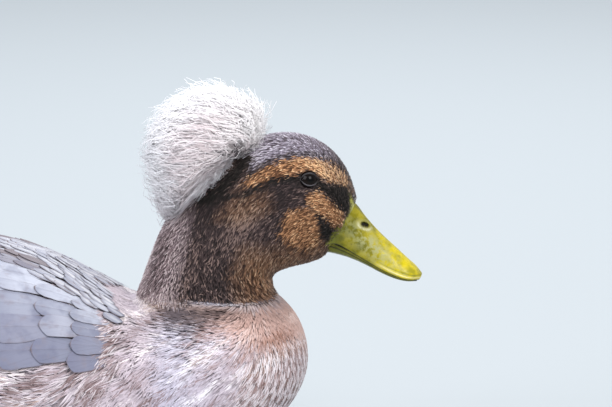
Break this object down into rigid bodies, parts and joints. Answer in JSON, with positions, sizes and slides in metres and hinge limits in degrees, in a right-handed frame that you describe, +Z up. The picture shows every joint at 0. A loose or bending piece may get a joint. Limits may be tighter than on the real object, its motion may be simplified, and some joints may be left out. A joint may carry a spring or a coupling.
{
  "type": "crested duck, life-size still model",
  "caption": "Life-size still model of a crested domestic duck resting on its belly, with a round feather crest, folded wings and tucked webbed feet.",
  "frame": {"origin": "middle of the flat patch of belly that the bird rests on, on the floor", "axes": "+X towards the bill, +Y towards the bird's left side, +Z up"},
  "size_m": [0.5129, 0.1862, 0.25],
  "materials": {
    "body_plumage": "soft matte plumage",
    "head_plumage": "short matte plumage",
    "crest_plumage": "loose downy white feathers",
    "wing_feather": "smooth silver-lavender feathers",
    "tail_feather": "smooth pale feathers",
    "bill_horn": "satin yellow horn",
    "eye_gloss": "wet dark gloss",
    "leg_skin": "scaly orange skin",
    "foot_skin": "scaly orange skin"
  },
  "bodies": {
    "root": {"torso": "body_plumage", "neck": "body_plumage", "head": "head_plumage", "crest": "crest_plumage", "bill_upper": "bill_horn", "bill_lower": "bill_horn", "eye_left": "eye_gloss", "eye_right": "eye_gloss", "wing_left": "wing_feather", "wing_right": "wing_feather", "tail": "tail_feather", "leg_left": "leg_skin", "leg_right": "leg_skin", "foot_left": "foot_skin", "foot_right": "foot_skin"}
  },
  "joints": []
}
